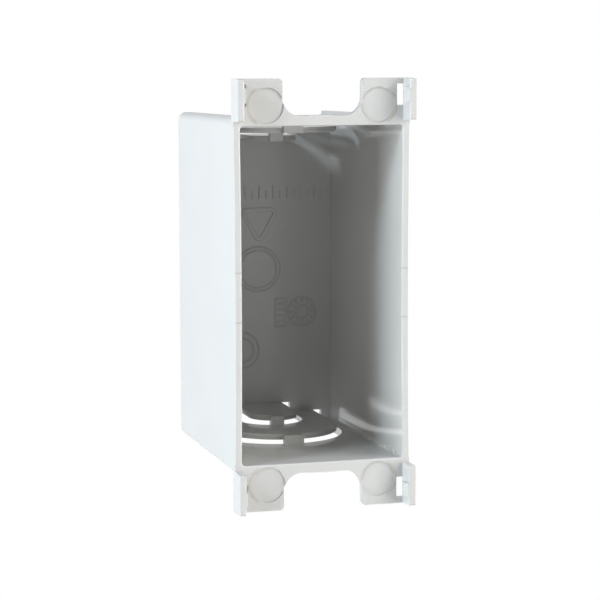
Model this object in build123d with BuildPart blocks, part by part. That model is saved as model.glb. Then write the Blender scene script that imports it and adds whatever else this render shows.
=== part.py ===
import math
import os

from build123d import *

# Moulded wall box, opening towards -Y, rear face on the XZ plane, Z up
opening_width = 45.0
opening_height = 90.0
box_depth = 66.1
side_wall = 1.75
end_wall = 2.62
back_wall = 1.8
draft_angle = 0.55
side_bow = 0.3
rear_side_bow = 0.02
outer_corner_radius = 2.2
opening_corner_radius = 1.0
rear_edge_radius = 0.9
rim_edge_radius = 0.4

# Front flange with one tab at each corner
flange_thickness = 1.9
tab_height = 57.5
notch_half_width = 10.95
notch_radius = 5.0
notch_crown = 0.2
tab_corner_radius = 1.2
spot_diameter = 9.6
spot_depth = 0.35
spot_x = 15.4
spot_drop = 7.1

# Hook plates standing on the outer side of the tabs
hook_thickness = 1.9
hook_height = 11.2
hook_reach = 5.3
hook_stand_out = 0.15
hook_side_taper = 0.15
hook_end_taper = 0.2
hook_tip_radius = 0.4
window_width = 2.35
window_height = 5.7
window_drop = 4.4
window_undercut = 0.6
wedge_height = 3.8
wedge_rise = 0.9
wedge_catch = 0.55
wedge_lip = 0.2
wedge_lead = 2.2
wedge_foot = 2.0
wedge_root = 0.5

# Stepped knock-outs in the top and bottom walls
plate_thickness = 1.5
step_pitch = 2.67
recess_half_width = 19.7
recess_start = 12.0
recess_corner_radius = 4.0
outer_slot_radius = 19.0
outer_tongue_radius = 16.85
outer_nose = 27.7
outer_tongue_bevel = 0.5
inner_slot_radius = 9.3
inner_tongue_radius = 7.0
inner_nose = 43.4
inner_tongue_bevel = 0.3
outer_bridge_width = 5.5
outer_bridge_length = 1.8
outer_bridge_offset = -0.4
inner_bridge_width = 3.8
inner_bridge_length = 1.5
inner_bridge_offset = -0.75
bridge_overlap = 0.5

# How far cutters run past the faces that they open
overshoot = 1.0

# Sizes that follow from the ones above
draft_slope = math.tan(math.radians(draft_angle))
cavity_depth = box_depth - back_wall
outer_half_width = opening_width / 2 + side_wall
outer_half_height = opening_height / 2 + end_wall
outer_inset = box_depth * draft_slope
cavity_inset = cavity_depth * draft_slope
flange_half_width = outer_half_width + hook_stand_out
flange_strip = tab_height - opening_height / 2
hook_centre_x = flange_half_width - hook_thickness / 2
hook_inner_x = flange_half_width - hook_thickness
hook_centre_z = tab_height - hook_height / 2
window_x = hook_inner_x + window_undercut - window_width / 2
window_z = tab_height - window_drop
spot_z = tab_height - spot_drop
front_plane = Plane.XZ.offset(box_depth)
rear_plane = Plane.XZ
floor_plane = Plane.XZ.offset(back_wall)
wedge_plane = Plane(origin=(hook_inner_x, -box_depth, window_z), x_dir=(0, -1, 0), z_dir=(0, 0, -1))


def bowed_outline(plane, half_width, half_height, bow, corner_radius):
    with BuildSketch(plane) as outline:
        with BuildLine():
            Line((-half_width, -half_height), (half_width, -half_height))
            ThreePointArc((half_width, -half_height), (half_width - bow, 0), (half_width, half_height))
            Line((half_width, half_height), (-half_width, half_height))
            ThreePointArc((-half_width, half_height), (bow - half_width, 0), (-half_width, -half_height))
        make_face()
        fillet(outline.vertices(), radius=corner_radius)
    return outline.sketch


def hook_section(plane, side_taper, end_taper):
    with BuildSketch(plane) as section:
        with Locations((hook_centre_x + side_taper / 2, hook_centre_z)):
            Rectangle(hook_thickness - side_taper, hook_height - 2 * end_taper)
    return section.sketch


def tongue_outline(plane, radius, nose, tail):
    centre = nose + radius
    with BuildSketch(plane) as outline:
        with BuildLine():
            ThreePointArc((-radius, centre), (0, nose), (radius, centre))
            Polyline((radius, centre), (radius, tail), (-radius, tail), (-radius, centre))
        make_face()
    return outline.sketch


def stepped_tongue(radius, nose, bevel):
    with BuildPart() as tongue:
        extrude(tongue_outline(Plane.XY, radius, nose, box_depth), amount=plate_thickness)
        inner_rim = tongue.faces().sort_by(Axis.Z)[0].edges().sort_by(Axis.Y)[:-1]
        chamfer(inner_rim, length=bevel)
    return tongue.part


front_outer = bowed_outline(front_plane, outer_half_width, outer_half_height, side_bow, outer_corner_radius)
rear_outer = bowed_outline(
    rear_plane,
    outer_half_width - outer_inset,
    outer_half_height - outer_inset,
    rear_side_bow,
    outer_corner_radius,
)
front_cavity = bowed_outline(
    front_plane, opening_width / 2, opening_height / 2, side_bow, opening_corner_radius
)
rear_cavity = bowed_outline(
    floor_plane,
    opening_width / 2 - cavity_inset,
    opening_height / 2 - cavity_inset,
    rear_side_bow,
    opening_corner_radius,
)
hook_root = hook_section(front_plane, 0, 0)
hook_tip = hook_section(front_plane.offset(hook_reach), hook_side_taper, hook_end_taper)
outer_tongue = stepped_tongue(outer_tongue_radius, outer_nose, outer_tongue_bevel)
inner_tongue = stepped_tongue(inner_tongue_radius, inner_nose, inner_tongue_bevel)

# one hook plate, tapered to its tip, with the snap wedge on its inner face
with BuildPart() as hook:
    extrude(hook_root, amount=-flange_thickness)
    loft(sections=[hook_root, hook_tip])
    tip_edges = hook.faces().sort_by(Axis.Y)[0].edges().sort_by(Axis.X)[:-1]
    fillet(tip_edges, radius=hook_tip_radius)
    with BuildSketch(wedge_plane):
        with BuildLine():
            Polyline(
                (wedge_foot, -wedge_root),
                (wedge_foot, wedge_catch),
                (hook_reach - wedge_lead, wedge_rise),
                (hook_reach, wedge_lip),
                (hook_reach, -wedge_root),
                close=True,
            )
        make_face()
    extrude(amount=wedge_height / 2, both=True)

with BuildPart() as masonry_box:
    # drafted outer body with rounded rear edges
    loft(sections=[front_outer, rear_outer])
    fillet(masonry_box.faces().sort_by(Axis.Y)[-1].edges(), radius=rear_edge_radius)

    # flange strips above and below the opening, cut by the arched notches
    with BuildSketch(front_plane) as flange:
        strip_z = opening_height / 2 + flange_strip / 2
        with Locations((0, strip_z), (0, -strip_z)):
            Rectangle(2 * flange_half_width, flange_strip)
        for end in (1, -1):
            with BuildLine():
                foot = end * outer_half_height
                rise = end * (outer_half_height + notch_radius)
                brow = end * (tab_height + overshoot)
                shoulder = notch_half_width - notch_radius
                bend = notch_radius * (1 - math.sqrt(0.5))
                Line((-notch_half_width, brow), (-notch_half_width, rise))
                ThreePointArc(
                    (-notch_half_width, rise),
                    (bend - notch_half_width, foot + end * bend),
                    (-shoulder, foot),
                )
                ThreePointArc((-shoulder, foot), (0, foot + end * notch_crown), (shoulder, foot))
                ThreePointArc(
                    (shoulder, foot),
                    (notch_half_width - bend, foot + end * bend),
                    (notch_half_width, rise),
                )
                Line((notch_half_width, rise), (notch_half_width, brow))
                Line((notch_half_width, brow), (-notch_half_width, brow))
            make_face(mode=Mode.SUBTRACT)
        rows = flange.vertices().group_by(Axis.Y)
        inner_tips = (rows[0] + rows[-1]).sort_by(lambda tip: abs(tip.X))[:4]
        fillet(inner_tips, radius=tab_corner_radius)
    extrude(amount=-flange_thickness)

    # cavity and the softened mouth edge
    loft(sections=[front_cavity, rear_cavity], mode=Mode.SUBTRACT)
    rim_face = masonry_box.faces().sort_by(Axis.Y)[0]
    fillet(rim_face.inner_wires()[0].edges(), radius=rim_edge_radius)

    # hook plates at the four corners
    add(hook.part)
    add(mirror(hook.part, about=Plane.YZ))
    add(mirror(hook.part, about=Plane.XY))
    add(mirror(mirror(hook.part, about=Plane.YZ), about=Plane.XY))

    # spot faces and the slots beside the hook plates
    corners = [(x, z) for x in (1, -1) for z in (1, -1)]
    with BuildSketch(front_plane):
        with Locations([(x * spot_x, z * spot_z) for x, z in corners]):
            Circle(spot_diameter / 2)
    extrude(amount=-spot_depth, mode=Mode.SUBTRACT)
    with BuildSketch(front_plane):
        with Locations([(x * window_x, z * window_z) for x, z in corners]):
            Rectangle(window_width, window_height)
    extrude(amount=-flange_thickness, mode=Mode.SUBTRACT)

    # stepped knock-outs, each step set inwards so the box pulls straight off its core
    for end in (1, -1):
        wall_plane = Plane(
            origin=(0, -box_depth, end * opening_height / 2),
            x_dir=(end, 0, 0),
            z_dir=(0, math.sin(math.radians(draft_angle)), end * math.cos(math.radians(draft_angle))),
        )
        outer_step = wall_plane.offset(-step_pitch)
        inner_step = wall_plane.offset(-2 * step_pitch)
        through = box_depth + overshoot
        with BuildSketch(wall_plane.offset(plate_thickness)) as recess:
            with Locations((0, (recess_start + through) / 2)):
                Rectangle(2 * recess_half_width, through - recess_start)
            fillet(recess.vertices().group_by(Axis.Y)[0], radius=recess_corner_radius)
        extrude(amount=end_wall, mode=Mode.SUBTRACT)
        extrude(
            tongue_outline(outer_step, outer_slot_radius, outer_nose, through),
            amount=step_pitch + end_wall,
            mode=Mode.SUBTRACT,
        )
        with Locations(outer_step):
            add(outer_tongue)
        extrude(
            tongue_outline(inner_step, inner_slot_radius, inner_nose, through),
            amount=2 * step_pitch - plate_thickness / 2,
            mode=Mode.SUBTRACT,
        )
        with Locations(inner_step):
            add(inner_tongue)
        with BuildSketch(outer_step):
            bridge_x = end * outer_bridge_offset
            with Locations((bridge_x, outer_nose + (bridge_overlap - outer_bridge_length) / 2)):
                Rectangle(outer_bridge_width, outer_bridge_length + bridge_overlap)
        extrude(amount=step_pitch + bridge_overlap)
        with BuildSketch(inner_step):
            bridge_x = end * inner_bridge_offset
            with Locations((bridge_x, inner_nose + (bridge_overlap - inner_bridge_length) / 2)):
                Rectangle(inner_bridge_width, inner_bridge_length + bridge_overlap)
        extrude(amount=step_pitch + bridge_overlap)

masonry_box.part.label = "masonry_box"

os.makedirs("parts", exist_ok=True)
export_step(masonry_box.part, "parts/masonry_box.step")
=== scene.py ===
import math

import bpy
from mathutils import Matrix, Vector


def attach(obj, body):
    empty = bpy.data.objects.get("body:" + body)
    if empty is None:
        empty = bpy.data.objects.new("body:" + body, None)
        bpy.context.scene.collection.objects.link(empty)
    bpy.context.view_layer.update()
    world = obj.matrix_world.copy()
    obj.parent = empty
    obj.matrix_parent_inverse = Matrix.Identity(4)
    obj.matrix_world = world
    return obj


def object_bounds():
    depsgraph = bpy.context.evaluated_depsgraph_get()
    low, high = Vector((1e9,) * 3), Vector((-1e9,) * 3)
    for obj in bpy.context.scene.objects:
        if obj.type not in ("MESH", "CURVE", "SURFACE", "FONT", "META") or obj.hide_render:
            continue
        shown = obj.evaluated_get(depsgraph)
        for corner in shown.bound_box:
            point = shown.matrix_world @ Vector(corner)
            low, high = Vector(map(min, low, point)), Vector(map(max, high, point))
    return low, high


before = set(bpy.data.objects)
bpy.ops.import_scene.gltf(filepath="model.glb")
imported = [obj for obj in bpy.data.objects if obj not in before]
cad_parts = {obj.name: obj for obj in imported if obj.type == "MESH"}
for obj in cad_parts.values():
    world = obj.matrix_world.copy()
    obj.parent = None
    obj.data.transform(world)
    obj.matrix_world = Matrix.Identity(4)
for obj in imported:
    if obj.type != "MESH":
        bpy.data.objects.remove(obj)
cadLow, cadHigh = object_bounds()
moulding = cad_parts["masonry_box"]
print("frame loaded")


def deselectAll():
    if bpy.context.object and bpy.context.object.mode != "OBJECT":
        bpy.ops.object.mode_set(mode="OBJECT")
    bpy.ops.object.select_all(action="DESELECT")


# The camera looks into the box from the left and a little from above
camera = {
    "target": (-0.006332, -0.0661, -0.00104),
    "distance": 0.592233,
    "yaw": 16.351,
    "pitch": 6.527,
    "roll": -0.176,
    "lens": 133.92,
    "sensor": 36,
    "nearest": 0.01,
    "farthest": 20,
}
turn = (
    Matrix.Rotation(math.radians(-camera["yaw"]), 4, "Z")
    @ Matrix.Rotation(math.radians(90 - camera["pitch"]), 4, "X")
    @ Matrix.Rotation(math.radians(camera["roll"]), 4, "Z")
)
backward = turn.to_3x3() @ Vector((0, 0, 1))
deselectAll()
bpy.ops.object.camera_add(
    location=Vector(camera["target"]) + backward * camera["distance"],
    rotation=turn.to_euler(),
)
photoCamera = bpy.context.object
photoCamera.name = "photoCamera"
photoCamera.data.sensor_width = camera["sensor"]
photoCamera.data.lens = camera["lens"]
photoCamera.data.clip_start = camera["nearest"]
photoCamera.data.clip_end = camera["farthest"]
bpy.context.scene.camera = photoCamera
print("camera placed")


class Wire:
    # A socket of a material, with the usual operators as Math nodes
    def __init__(self, paint, socket):
        self.paint = paint
        self.socket = socket

    def maths(self, operation, *values):
        return self.paint.add("Math", {"operation": operation}, dict(enumerate((self,) + values)))

    def __add__(self, other):
        return self.maths("ADD", other)

    def __radd__(self, other):
        return self.maths("ADD", other)

    def __sub__(self, other):
        return self.maths("SUBTRACT", other)

    def __rsub__(self, other):
        return self.paint.add("Math", {"operation": "SUBTRACT"}, {0: other, 1: self})

    def __mul__(self, other):
        return self.maths("MULTIPLY", other)

    def __rmul__(self, other):
        return self.maths("MULTIPLY", other)

    def __lt__(self, other):
        return self.maths("LESS_THAN", other)

    def __gt__(self, other):
        return self.maths("GREATER_THAN", other)


class Paint:
    # The nodes of a new material or world, with one method that adds any node to them
    def __init__(self, owner):
        owner.use_nodes = True
        self.tree = owner.node_tree
        self.tree.nodes.clear()

    def add(self, kind, settings=None, values=None, output=0):
        node = self.tree.nodes.new("ShaderNode" + kind)
        for name, value in (settings or {}).items():
            setattr(node, name, value)
        for name, value in (values or {}).items():
            if isinstance(value, Wire):
                self.tree.links.new(value.socket, node.inputs[name])
            else:
                node.inputs[name].default_value = value
        return None if output is None else Wire(self, node.outputs[output])

    def mix(self, first, second, share):
        settings = {"data_type": "RGBA"}
        return self.add("Mix", settings, {0: share, 6: first, 7: second}, output=2)

    def axis(self, vector, name):
        return self.add("SeparateXYZ", {}, {"Vector": vector}, output=name)

    def cover(self, surface, output="OutputMaterial"):
        self.add(output, {}, {"Surface": surface}, output=None)


# Light grey moulded plastic: a faint cloudy tone, a fine grain, a few dark specks, and a painted
# shade tone that darkens the sides of the raised marks
plastic = {
    "colour": (0.55, 0.55, 0.535, 1),
    "cloud": (0.52, 0.52, 0.505, 1),
    # painted shade tone for the sides of the raised marks
    "paintedShade": (0.2, 0.2, 0.185, 1),
    "speck": (0.22, 0.21, 0.19, 1),
    "cloudScale": 45,
    "cloudDetail": 3,
    "grainScale": 2600,
    "grainDetail": 2,
    "grainDepth": 0.00001,
    "speckScale": 260,
    "speckRadius": 0.06,  # as a share of the spacing of the specks
    "speckShare": 0.1,
    "smooth": 0.06,
    "rough": 0.11,
    "mattOutside": 0.4,
    "outerLean": 0.01,
    "markPaintedShade": 0.45,  # painted shade: how far the sides of the raised marks turn to the dark shade tone
    "refraction": 1.5,
}

# Dark brownish rings on the hook side of the four round faces, partly dirt and partly painted shade
# of the recess wall and the hook's shadow, and fine lines across the side rims
wearAndShade = {
    "tone": (0.36, 0.32, 0.24, 1),
    "share": 0.9,
    "roundX": 0.0154,
    "roundZ": 0.0504,
    "radius": 0.0051,
    "width": 0.0007,
    "patchScale": 420,
    "patchDetail": 2,
    "rimLineZ": 0.0066,
    "rimLineWidth": 0.0002,
    "rimLineShare": 0.5,
    "openingSide": 0.0222,
    "frontDepth": -0.0655,
}


def wearAndShadeShare(paint, place):
    across = paint.axis(place, "X").maths("ABSOLUTE")
    along = paint.axis(place, "Z").maths("ABSOLUTE")
    front = paint.axis(place, "Y") < wearAndShade["frontDepth"]
    patches = paint.add(
        "TexNoise",
        {},
        {"Vector": place, "Scale": wearAndShade["patchScale"], "Detail": wearAndShade["patchDetail"]},
    )
    side = across - wearAndShade["roundX"]
    rise = along - wearAndShade["roundZ"]
    offRing = (side * side + rise * rise).maths("SQRT") - wearAndShade["radius"]
    # Painted shade with a dirt tint: a dark ring at the edge of each round face, on its hook side
    rubAndShade = (1 - offRing.maths("ABSOLUTE") * (1 / wearAndShade["width"])).maths("MAXIMUM", 0)
    rubAndShade = rubAndShade * (side > wearAndShade["radius"] / 2) * patches * wearAndShade["share"]
    line = (along - wearAndShade["rimLineZ"]).maths("ABSOLUTE") < wearAndShade["rimLineWidth"]
    line = line * (across > wearAndShade["openingSide"]) * wearAndShade["rimLineShare"]
    return (rubAndShade + line) * front


# Is 1 on the faces that look away from the middle of the box, which are matt
def outerFaces(paint, place):
    normal = paint.add("TexCoord", output="Normal")
    flat = paint.add(
        "VectorMath", {"operation": "MULTIPLY"}, {0: place, 1: (1, 0, 1)}, output="Vector"
    )
    lean = paint.add("VectorMath", {"operation": "DOT_PRODUCT"}, {0: flat, 1: normal}, output="Value")
    return lean > plastic["outerLean"]


# Is 1 on a few scattered dots
def specksOf(paint, place):
    cell = {"Vector": place, "Scale": plastic["speckScale"]}
    distance = paint.add("TexVoronoi", {}, cell, output="Distance")
    choice = paint.add(
        "SeparateColor", {}, {"Color": paint.add("TexVoronoi", {}, cell, output="Color")}
    )
    return (distance < plastic["speckRadius"]) * (choice < plastic["speckShare"])


def boxPlastic(name, paintedEdgeShade):
    material = bpy.data.materials.new(name)
    paint = Paint(material)
    place = paint.add("TexCoord", output="Object")
    clouds = paint.add(
        "TexNoise",
        {},
        {"Vector": place, "Scale": plastic["cloudScale"], "Detail": plastic["cloudDetail"]},
    )
    grain = paint.add(
        "TexNoise",
        {},
        {"Vector": place, "Scale": plastic["grainScale"], "Detail": plastic["grainDetail"]},
    )
    colour = paint.mix(plastic["colour"], plastic["cloud"], clouds)
    colour = paint.mix(colour, plastic["speck"], specksOf(paint, place))
    # Painted shade with a dirt tint on the hook side of the round faces, and fine lines across the
    # side rims
    colour = paint.mix(colour, wearAndShade["tone"], wearAndShadeShare(paint, place))
    # Painted shade: faces that do not look along Y, the sides of the raised marks, turn darker
    if paintedEdgeShade:
        facing = paint.axis(paint.add("TexCoord", output="Normal"), "Y").maths("ABSOLUTE")
        colour = paint.mix(colour, plastic["paintedShade"], (1 - facing) * paintedEdgeShade)
    roughness = clouds * (plastic["rough"] - plastic["smooth"]) + plastic["smooth"]
    roughness = roughness + outerFaces(paint, place) * plastic["mattOutside"]
    bump = paint.add("Bump", {}, {"Height": grain, "Distance": plastic["grainDepth"]})
    surface = paint.add(
        "BsdfPrincipled",
        {},
        {
            "Base Color": colour,
            "Roughness": roughness,
            "Normal": bump,
            "IOR": plastic["refraction"],
        },
    )
    paint.cover(surface)
    return material


boxFinish = boxPlastic("boxPlastic", 0)
# The marks' material has painted shade on their sides
markPaintedShadeFinish = boxPlastic("markPlasticPaintedShade", plastic["markPaintedShade"])
moulding.data.materials[0] = boxFinish
print("plastic applied")

# Raised marks on the inside of the back wall, all plain
marks = {
    "height": 0.0003,
    "sunk": 0.0002,  # depth in the wall
    "softEdge": 0.0002,
    "softSteps": 2,
    "line": 0.00045,
    "circleSteps": 72,
}
wallFace = moulding.ray_cast((0, cadLow[1], 0), (0, 1, 0))[1].y
markBed = wallFace + marks["sunk"]


def onWall(place):
    return (place[0], markBed, place[1])


# A flat plate with a given number of sides, facing out of the box
def plate(place, radius, sides=marks["circleSteps"], turn=0):
    deselectAll()
    bpy.ops.mesh.primitive_circle_add(
        vertices=sides,
        radius=radius,
        fill_type="NGON",
        location=onWall(place),
        rotation=(math.pi / 2, turn, 0),
    )
    return bpy.context.object


def bar(place, width, height, turn=0):
    deselectAll()
    bpy.ops.mesh.primitive_plane_add(
        size=1, location=onWall(place), rotation=(math.pi / 2, turn, 0)
    )
    strip = bpy.context.object
    strip.scale = (width, height, 1)
    return strip


def hollow(piece, line):
    bpy.ops.object.mode_set(mode="EDIT")
    bpy.ops.mesh.select_all(action="SELECT")
    bpy.ops.mesh.inset(thickness=line)
    bpy.ops.mesh.delete(type="FACE")
    bpy.ops.object.mode_set(mode="OBJECT")
    return piece


def roundCorners(piece, corner, steps):
    bpy.ops.object.mode_set(mode="EDIT")
    bpy.ops.mesh.select_all(action="SELECT")
    bpy.ops.mesh.bevel(offset=corner, segments=steps, affect="VERTICES")
    bpy.ops.object.mode_set(mode="OBJECT")
    return piece


def joinParts(parts):
    deselectAll()
    for part in parts:
        part.select_set(True)
    bpy.context.view_layer.objects.active = parts[0]
    if len(parts) > 1:
        bpy.ops.object.join()
    bpy.ops.object.transform_apply(location=True, rotation=True, scale=True)
    return parts[0]


def finishPiece(piece, name, material):
    piece.name = name
    piece.data.materials.clear()
    piece.data.materials.append(material)
    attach(piece, "root")


# Joins flat outlines into one mark and raises it from the wall with softened edges
def raiseMark(name, parts):
    mark = joinParts(parts)
    solid = mark.modifiers.new("solid", "SOLIDIFY")
    solid.thickness = marks["sunk"] + marks["height"]
    solid.offset = 1
    soft = mark.modifiers.new("soft", "BEVEL")
    soft.width = marks["softEdge"]
    soft.segments = marks["softSteps"]
    for modifier in ("solid", "soft"):
        bpy.ops.object.modifier_apply(modifier=modifier)
    finishPiece(mark, name, markPaintedShadeFinish)


def ring(place, radius):
    return hollow(plate(place, radius), marks["line"])


triangle = {
    "place": (0.0001, 0.0151),
    "radius": 0.0076,
    "corner": 0.0033,
    "cornerSteps": 6,
    "band": 0.0012,
}
outline = plate(triangle["place"], triangle["radius"], sides=3, turn=math.pi)
outline = roundCorners(outline, triangle["corner"], triangle["cornerSteps"])
raiseMark("triangleMark", [hollow(outline, triangle["band"])])

disc = {"place": (-0.0002, 0.0008), "radii": (0.0068, 0.0057)}
raiseMark("discMark", [ring(disc["place"], radius) for radius in disc["radii"]])

rings = {"place": (-0.0055, -0.0231), "radii": (0.0056, 0.0039)}
raiseMark("ringMark", [ring(rings["place"], radius) for radius in rings["radii"]])

dial = {"place": (0.0131, -0.0121), "outer": 0.0045, "inner": 0.0022, "ticks": 12}
dialX, dialZ = dial["place"]
dialParts = [ring(dial["place"], dial["outer"]), ring(dial["place"], dial["inner"])]
tickMiddle = (dial["outer"] + dial["inner"]) / 2
tickLength = (dial["outer"] - dial["inner"]) / 2
for step in range(dial["ticks"]):
    angle = math.tau * step / dial["ticks"]
    tickPlace = (dialX + tickMiddle * math.sin(angle), dialZ + tickMiddle * math.cos(angle))
    dialParts.append(bar(tickPlace, marks["line"], tickLength, angle))
raiseMark("dialMark", dialParts)

panel = {"place": (0.0065, -0.0122), "width": 0.0036, "height": 0.0088, "bars": 4}
panelX, panelZ = panel["place"]
border = bar(panel["place"], panel["width"], panel["height"])
bpy.ops.object.transform_apply(location=False, rotation=False, scale=True)
panelParts = [hollow(border, marks["line"])]
for step in range(panel["bars"]):
    lift = panel["height"] * ((step + 1) / (panel["bars"] + 1) - 0.5)
    panelParts.append(bar((panelX, panelZ + lift), panel["width"] / 2, marks["line"]))
raiseMark("panelMark", panelParts)

scale = {"start": (-0.0040, 0.0234), "pitch": 0.0021, "count": 12, "tall": 0.0038, "short": 0.0024}
scaleX, scaleZ = scale["start"]
strokes = []
for step in range(scale["count"]):
    tall = scale["short"] if step % 2 else scale["tall"]
    place = (scaleX + scale["pitch"] * step, scaleZ - (scale["tall"] - tall) / 2)
    strokes.append(bar(place, marks["line"], tall))
raiseMark("scaleMark", strokes)
print("raised marks made")

# Burrs left by the mould along the lower right inner corner, at their depths behind the rim
burrs = {
    "depths": (0.005, 0.0095, 0.012, 0.0165, 0.024, 0.0262, 0.034),
    "lengths": (0.0009, 0.0022, 0.0014),
    "radius": 0.00048,
    "tip": 0.0001,
    "sides": 5,
    "corner": (0.02214, -0.0661, -0.04464),  # where the corner meets the rim
    "slope": 0.0096,  # how the walls draw in with depth
    "twist": 0.9,
    "rough": 0.0001,
}


def addBurr(step, depth):
    inward = burrs["slope"] * depth
    cornerX, rimY, cornerZ = burrs["corner"]
    deselectAll()
    bpy.ops.mesh.primitive_cone_add(
        vertices=burrs["sides"],
        radius1=burrs["radius"],
        radius2=burrs["tip"],
        depth=burrs["lengths"][step % len(burrs["lengths"])],
        location=(cornerX - inward, rimY + depth, cornerZ + inward),
        rotation=(math.pi / 2, burrs["twist"] * step, 0),
    )
    bpy.ops.object.mode_set(mode="EDIT")
    bpy.ops.mesh.select_all(action="SELECT")
    bpy.ops.mesh.quads_convert_to_tris()
    bpy.ops.mesh.subdivide(number_cuts=1)
    bpy.ops.transform.vertex_random(offset=burrs["rough"], normal=1, seed=step)
    bpy.ops.object.mode_set(mode="OBJECT")
    return bpy.context.object


cornerBurrs = joinParts([addBurr(step, depth) for step, depth in enumerate(burrs["depths"])])
finishPiece(cornerBurrs, "cornerBurrs", boxFinish)
print("burrs made")

# A pale floor well below the box, which hangs in the air as on its wall
floorPlan = {
    "size": 6,
    "height": -0.25,
    "colour": (0.8, 0.8, 0.8, 1),
    "shadowShare": 0.2,
    "shadowEnd": 0.3,  # as far as this the floor shows the shadow
    "whiteStart": 0.6,  # and from here on it is plain white
}
white = (1, 1, 1, 1)


# Is 1 for the rays that show the pale backdrop: those of the camera, mirrors and glass
def backdropRays(paint):
    seen = paint.add("LightPath", output="Is Camera Ray")
    mirrored = paint.add("LightPath", output="Is Glossy Ray")
    through = paint.add("LightPath", output="Is Transmission Ray")
    return (seen + mirrored + through).maths("MINIMUM", 1)


# White for those rays, with the shadow of the box left under it
def floorWhite():
    material = bpy.data.materials.new("floorWhite")
    paint = Paint(material)
    place = paint.add("TexCoord", output="Object")
    reach = paint.add("VectorMath", {"operation": "LENGTH"}, {0: place}, output="Value")
    share = paint.add(
        "MapRange",
        {},
        {
            "Value": reach,
            "From Min": floorPlan["shadowEnd"],
            "From Max": floorPlan["whiteStart"],
            "To Min": 1 - floorPlan["shadowShare"],
        },
    )
    shade = paint.add("BsdfDiffuse", {}, {"Color": floorPlan["colour"]})
    glow = paint.add("Emission", {}, {"Color": white, "Strength": 1})
    paint.cover(paint.add("MixShader", {}, {0: backdropRays(paint) * share, 1: shade, 2: glow}))
    return material


deselectAll()
bpy.ops.mesh.primitive_plane_add(size=floorPlan["size"], location=(0, 0, floorPlan["height"]))
floor = bpy.context.object
floor.name = "floor"
floor.data.materials.append(floorWhite())
print("floor laid")

# Soft lamps around the box, each turned towards its middle; azimuth 0 is straight in front
lamps = {
    "leftLamp": {"azimuth": -78, "elevation": 4, "power": 8.8, "colour": (0.89, 0.95, 1)},
    "windowLamp": {
        "azimuth": -62,
        "elevation": 33,
        "power": 3.4,
        "colour": (0.82, 0.91, 1),
        "size": 0.18,
    },
    "rightLamp": {"azimuth": 40, "elevation": 0, "power": 4.6, "colour": (1, 0.99, 0.95)},
    "upperRightLamp": {"azimuth": 60, "elevation": 40, "power": 6, "colour": (1, 0.98, 0.99)},
    "sideLamp": {"azimuth": 68, "elevation": 4, "power": 1.2, "colour": (1, 0.97, 0.9)},
    "rearLamp": {
        "azimuth": 145,
        "elevation": -8,
        "power": 2,
        "colour": (1, 1, 1),
        "size": 0.3,
    },
}
boxMiddle = Vector((0, -0.032, 0))
lampDistance = 0.9
lampSize = 0.5


def addLamp(name, azimuth, elevation, power, colour, size=lampSize):
    side, lift = math.radians(azimuth), math.radians(elevation)
    outward = Vector(
        (math.sin(side) * math.cos(lift), -math.cos(side) * math.cos(lift), math.sin(lift))
    )
    deselectAll()
    bpy.ops.object.light_add(
        type="AREA",
        location=boxMiddle + outward * lampDistance,
        rotation=outward.to_track_quat("Z", "Y").to_euler(),
    )
    lamp = bpy.context.object
    lamp.name = name
    lamp.data.size = size
    lamp.data.energy = power
    lamp.data.color = colour


for lampName, lampPlan in lamps.items():
    addLamp(lampName, **lampPlan)

worldStrength = 0.01


# The world lights the box dimly and shows as white
def paleWorld():
    world = bpy.data.worlds.new("paleWorld")
    bpy.context.scene.world = world
    paint = Paint(world)
    dim = paint.add("Background", {}, {"Color": white, "Strength": worldStrength})
    bright = paint.add("Background", {}, {"Color": white, "Strength": 1})
    mixed = paint.add("MixShader", {}, {0: backdropRays(paint), 1: dim, 2: bright})
    paint.cover(mixed, output="OutputWorld")


paleWorld()
bpy.context.scene.view_settings.view_transform = "Standard"
print("lamps and world set")
